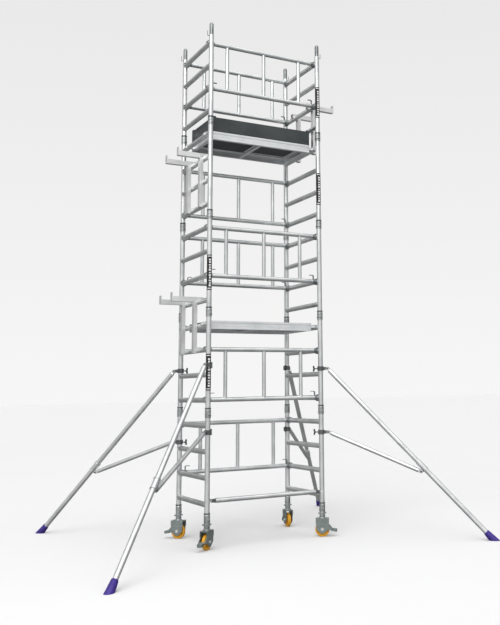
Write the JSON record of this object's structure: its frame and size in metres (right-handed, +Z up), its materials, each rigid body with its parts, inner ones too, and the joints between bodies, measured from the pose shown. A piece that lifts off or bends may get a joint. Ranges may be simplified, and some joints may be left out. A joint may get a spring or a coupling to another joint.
{
  "type": "mobile scaffold tower",
  "caption": "Mobile aluminium frame scaffold tower: stacked ladder frames, guardrail frames, trapdoor platforms, toe boards, stabilisers and braked castors on adjustable legs.",
  "frame": {"origin": "on the floor, at the centre of the four stiles", "axes": "+X along the bay, from the left ladder frames to the right ones; +Y from the front to the back; +Z up"},
  "size_m": [3.8986, 3.4139, 5.375],
  "materials": {
    "frame_tube": "satin extruded tube, welded",
    "guardrail_tube": "satin extruded tube, welded",
    "brace_tube": "satin extruded tube",
    "platform_beam": "mill finish extrusion",
    "bracket_box": "satin box section",
    "stabiliser_tube": "satin extruded tube",
    "toe_clip": "folded plate",
    "claw_casting": "die cast, dull",
    "clip_steel": "zinc plated spring steel, dull",
    "clamp_steel": "dark plated forging",
    "deck_board": "phenolic film faced plywood, near black",
    "trapdoor_board": "phenolic film faced plywood, near black",
    "toe_board": "dark film faced board, slight sheen",
    "leg_steel": "zinc plated",
    "nut_casting": "galvanised casting",
    "fork_steel": "grey zinc finish pressing",
    "pedal_steel": "grey zinc finish pressing",
    "wheel_polymer": "moulded orange yellow polyurethane",
    "foot_rubber": "moulded blue violet rubber"
  },
  "bodies": {
    "tower": {"ladder_frame_left_1": "frame_tube", "ladder_frame_left_2": "frame_tube", "ladder_frame_left_3": "frame_tube", "ladder_frame_left_4": "frame_tube", "ladder_frame_left_5": "frame_tube", "ladder_frame_right_1": "frame_tube", "ladder_frame_right_2": "frame_tube", "ladder_frame_right_3": "frame_tube", "ladder_frame_right_4": "frame_tube", "ladder_frame_right_5": "frame_tube", "interlock_clips": "clip_steel", "guardrail_front_1": "guardrail_tube", "guardrail_front_2": "guardrail_tube", "guardrail_front_3": "guardrail_tube", "guardrail_back_1": "guardrail_tube", "guardrail_back_2": "guardrail_tube", "guardrail_back_3": "guardrail_tube", "guardrail_back_4": "guardrail_tube", "guardrail_claws": "claw_casting", "base_brace": "brace_tube", "platform_frame_lower": "platform_beam", "platform_frame_upper": "platform_beam", "platform_decks": "deck_board", "toe_boards": "toe_board", "toe_board_clips": "toe_clip", "carry_brackets": "bracket_box"},
    "leg_front_left": {"adjustable_leg_front_left": "leg_steel"},
    "nut_front_left": {"leg_nut_front_left": "nut_casting"},
    "fork_front_left": {"castor_fork_front_left": "fork_steel"},
    "wheel_front_left": {"castor_wheel_front_left": "wheel_polymer"},
    "pedal_front_left": {"brake_pedal_front_left": "pedal_steel"},
    "stabiliser_front_left": {"stabiliser_leg_front_left": "stabiliser_tube", "stabiliser_clamps_front_left": "clamp_steel", "stabiliser_foot_front_left": "foot_rubber"},
    "leg_front_right": {"adjustable_leg_front_right": "leg_steel"},
    "nut_front_right": {"leg_nut_front_right": "nut_casting"},
    "fork_front_right": {"castor_fork_front_right": "fork_steel"},
    "wheel_front_right": {"castor_wheel_front_right": "wheel_polymer"},
    "pedal_front_right": {"brake_pedal_front_right": "pedal_steel"},
    "stabiliser_front_right": {"stabiliser_leg_front_right": "stabiliser_tube", "stabiliser_clamps_front_right": "clamp_steel", "stabiliser_foot_front_right": "foot_rubber"},
    "leg_back_left": {"adjustable_leg_back_left": "leg_steel"},
    "nut_back_left": {"leg_nut_back_left": "nut_casting"},
    "fork_back_left": {"castor_fork_back_left": "fork_steel"},
    "wheel_back_left": {"castor_wheel_back_left": "wheel_polymer"},
    "pedal_back_left": {"brake_pedal_back_left": "pedal_steel"},
    "stabiliser_back_left": {"stabiliser_leg_back_left": "stabiliser_tube", "stabiliser_clamps_back_left": "clamp_steel", "stabiliser_foot_back_left": "foot_rubber"},
    "leg_back_right": {"adjustable_leg_back_right": "leg_steel"},
    "nut_back_right": {"leg_nut_back_right": "nut_casting"},
    "fork_back_right": {"castor_fork_back_right": "fork_steel"},
    "wheel_back_right": {"castor_wheel_back_right": "wheel_polymer"},
    "pedal_back_right": {"brake_pedal_back_right": "pedal_steel"},
    "stabiliser_back_right": {"stabiliser_leg_back_right": "stabiliser_tube", "stabiliser_clamps_back_right": "clamp_steel", "stabiliser_foot_back_right": "foot_rubber"},
    "trapdoor_lower": {"trapdoor_lower": "trapdoor_board"},
    "trapdoor_upper": {"trapdoor_upper": "trapdoor_board"}
  },
  "joints": [
    {"name": "nut_turn_front_left", "type": "hinge", "parent": "tower", "child": "nut_front_left", "pos_m": [-0.6375, -0.3975, 0.221], "axis": [0, 0, 1], "range_deg": [0, 9000]},
    {"name": "leg_slide_front_left", "type": "slide", "parent": "tower", "child": "leg_front_left", "axis": [0, 0, -1], "range_m": [0, 0.2]},
    {"name": "castor_swivel_front_left", "type": "hinge", "parent": "leg_front_left", "child": "fork_front_left", "pos_m": [-0.6375, -0.3975, 0.179], "axis": [0, 0, 1], "continuous": true},
    {"name": "wheel_spin_front_left", "type": "hinge", "parent": "fork_front_left", "child": "wheel_front_left", "pos_m": [-0.6375, -0.3975, 0.075], "axis": [0.6428, -0.766, 0], "continuous": true},
    {"name": "brake_pedal_front_left", "type": "hinge", "parent": "fork_front_left", "child": "pedal_front_left", "pos_m": [-0.7053, -0.45439, 0.078], "axis": [0.6428, -0.766, 0], "range_deg": [0, 15]},
    {"name": "stabiliser_swing_front_left", "type": "hinge", "parent": "tower", "child": "stabiliser_front_left", "pos_m": [-0.6375, -0.3975, 1.4], "axis": [0, 0, 1], "range_deg": [-40, 40]},
    {"name": "nut_turn_front_right", "type": "hinge", "parent": "tower", "child": "nut_front_right", "pos_m": [0.6375, -0.3975, 0.221], "axis": [0, 0, 1], "range_deg": [0, 9000]},
    {"name": "leg_slide_front_right", "type": "slide", "parent": "tower", "child": "leg_front_right", "axis": [0, 0, -1], "range_m": [0, 0.2]},
    {"name": "castor_swivel_front_right", "type": "hinge", "parent": "leg_front_right", "child": "fork_front_right", "pos_m": [0.6375, -0.3975, 0.179], "axis": [0, 0, 1], "continuous": true},
    {"name": "wheel_spin_front_right", "type": "hinge", "parent": "fork_front_right", "child": "wheel_front_right", "pos_m": [0.6375, -0.3975, 0.075], "axis": [0.515, 0.8572, 0], "continuous": true},
    {"name": "brake_pedal_front_right", "type": "hinge", "parent": "fork_front_right", "child": "pedal_front_right", "pos_m": [0.71336, -0.44308, 0.078], "axis": [0.515, 0.8572, 0], "range_deg": [0, 15]},
    {"name": "stabiliser_swing_front_right", "type": "hinge", "parent": "tower", "child": "stabiliser_front_right", "pos_m": [0.6375, -0.3975, 1.4], "axis": [0, 0, 1], "range_deg": [-40, 40]},
    {"name": "nut_turn_back_left", "type": "hinge", "parent": "tower", "child": "nut_back_left", "pos_m": [-0.6375, 0.3975, 0.221], "axis": [0, 0, 1], "range_deg": [0, 9000]},
    {"name": "leg_slide_back_left", "type": "slide", "parent": "tower", "child": "leg_back_left", "axis": [0, 0, -1], "range_m": [0, 0.2]},
    {"name": "castor_swivel_back_left", "type": "hinge", "parent": "leg_back_left", "child": "fork_back_left", "pos_m": [-0.6375, 0.3975, 0.179], "axis": [0, 0, 1], "continuous": true},
    {"name": "wheel_spin_back_left", "type": "hinge", "parent": "fork_back_left", "child": "wheel_back_left", "pos_m": [-0.6375, 0.3975, 0.075], "axis": [-0.7314, -0.682, 0], "continuous": true},
    {"name": "brake_pedal_back_left", "type": "hinge", "parent": "fork_back_left", "child": "pedal_back_left", "pos_m": [-0.69786, 0.46222, 0.078], "axis": [-0.7314, -0.682, 0], "range_deg": [0, 15]},
    {"name": "stabiliser_swing_back_left", "type": "hinge", "parent": "tower", "child": "stabiliser_back_left", "pos_m": [-0.6375, 0.3975, 1.4], "axis": [0, 0, 1], "range_deg": [-40, 40]},
    {"name": "nut_turn_back_right", "type": "hinge", "parent": "tower", "child": "nut_back_right", "pos_m": [0.6375, 0.3975, 0.221], "axis": [0, 0, 1], "range_deg": [0, 9000]},
    {"name": "leg_slide_back_right", "type": "slide", "parent": "tower", "child": "leg_back_right", "axis": [0, 0, -1], "range_m": [0, 0.2]},
    {"name": "castor_swivel_back_right", "type": "hinge", "parent": "leg_back_right", "child": "fork_back_right", "pos_m": [0.6375, 0.3975, 0.179], "axis": [0, 0, 1], "continuous": true},
    {"name": "wheel_spin_back_right", "type": "hinge", "parent": "fork_back_right", "child": "wheel_back_right", "pos_m": [0.6375, 0.3975, 0.075], "axis": [-0.9848, 0.1736, 0], "continuous": true},
    {"name": "brake_pedal_back_right", "type": "hinge", "parent": "fork_back_right", "child": "pedal_back_right", "pos_m": [0.65287, 0.48466, 0.078], "axis": [-0.9848, 0.1736, 0], "range_deg": [0, 15]},
    {"name": "stabiliser_swing_back_right", "type": "hinge", "parent": "tower", "child": "stabiliser_back_right", "pos_m": [0.6375, 0.3975, 1.4], "axis": [0, 0, 1], "range_deg": [-40, 40]},
    {"name": "trapdoor_lower_hinge", "type": "hinge", "parent": "tower", "child": "trapdoor_lower", "pos_m": [-0.28, 0.24, 2.22], "axis": [-1, 0, 0], "range_deg": [0, 90]},
    {"name": "trapdoor_upper_hinge", "type": "hinge", "parent": "tower", "child": "trapdoor_upper", "pos_m": [0.28, 0.24, 4.22], "axis": [-1, 0, 0], "range_deg": [0, 90]}
  ],
  "couplings": [
    {"joint": "nut_turn_front_left", "follows": "leg_slide_front_left", "rad_per_m": 785.4},
    {"joint": "nut_turn_front_right", "follows": "leg_slide_front_right", "rad_per_m": 785.4},
    {"joint": "nut_turn_back_left", "follows": "leg_slide_back_left", "rad_per_m": 785.4},
    {"joint": "nut_turn_back_right", "follows": "leg_slide_back_right", "rad_per_m": 785.4}
  ]
}
